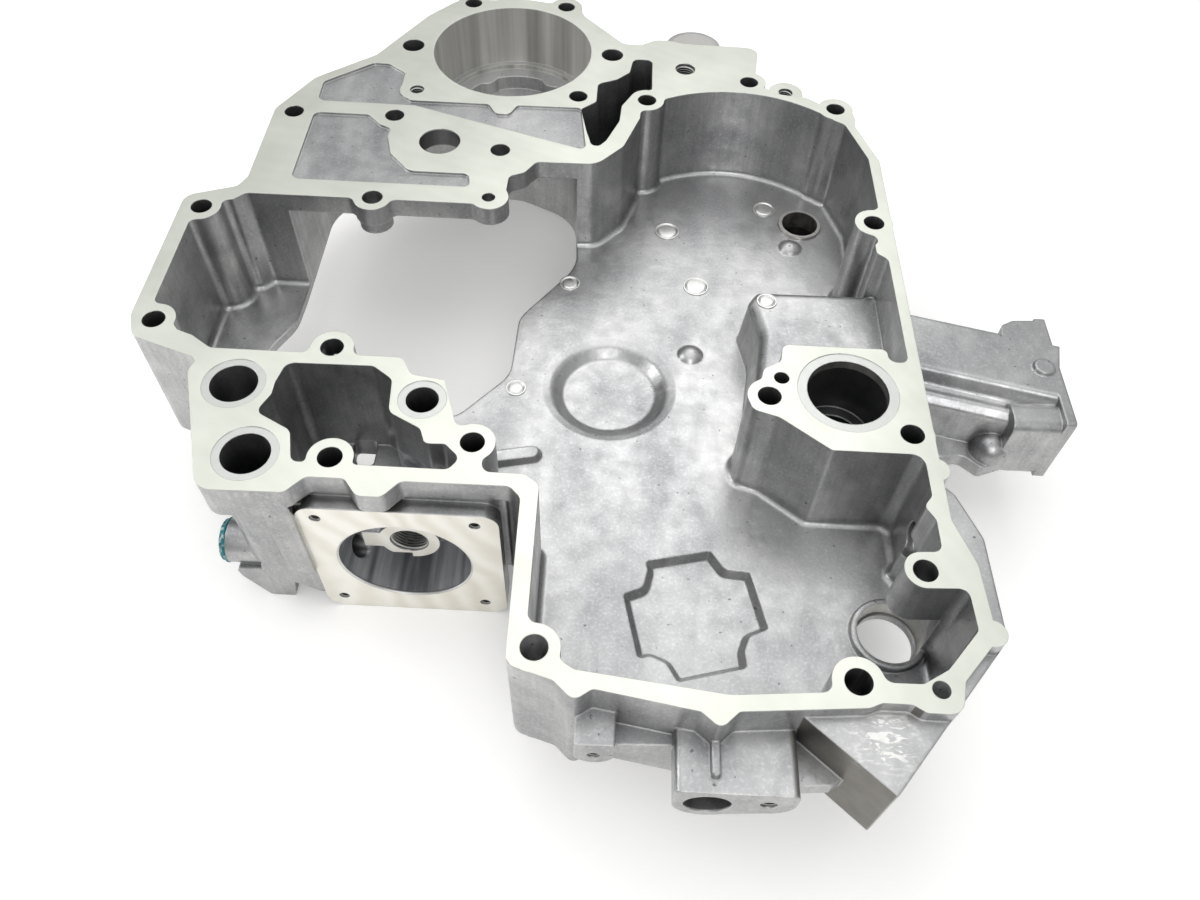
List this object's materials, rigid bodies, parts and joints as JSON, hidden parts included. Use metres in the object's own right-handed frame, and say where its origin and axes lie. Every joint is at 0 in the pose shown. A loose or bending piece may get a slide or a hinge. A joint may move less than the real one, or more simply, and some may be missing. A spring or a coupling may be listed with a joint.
{
  "type": "engine timing gear case",
  "caption": "Open aluminium timing gear case with gear chambers, pump bore, oil filter flange, oil port block and a water duct to one side.",
  "frame": {"origin": "centre of the injection pump bore on the front gasket face", "axes": "+X along the case towards the water duct, +Y towards the pump end, +Z out of the gasket face"},
  "size_m": [0.4649, 0.5112, 0.106],
  "materials": {
    "cast_aluminium": "as cast, machined on the joint faces",
    "bush_steel": "turned",
    "sealed_plug": "steel plug with dried thread sealant",
    "cap_steel": "plain pressed cap"
  },
  "bodies": {
    "root": {"gear_case": "cast_aluminium", "floor_bush": "bush_steel", "gallery_plug": "sealed_plug", "top_plug": "cap_steel"}
  },
  "joints": []
}
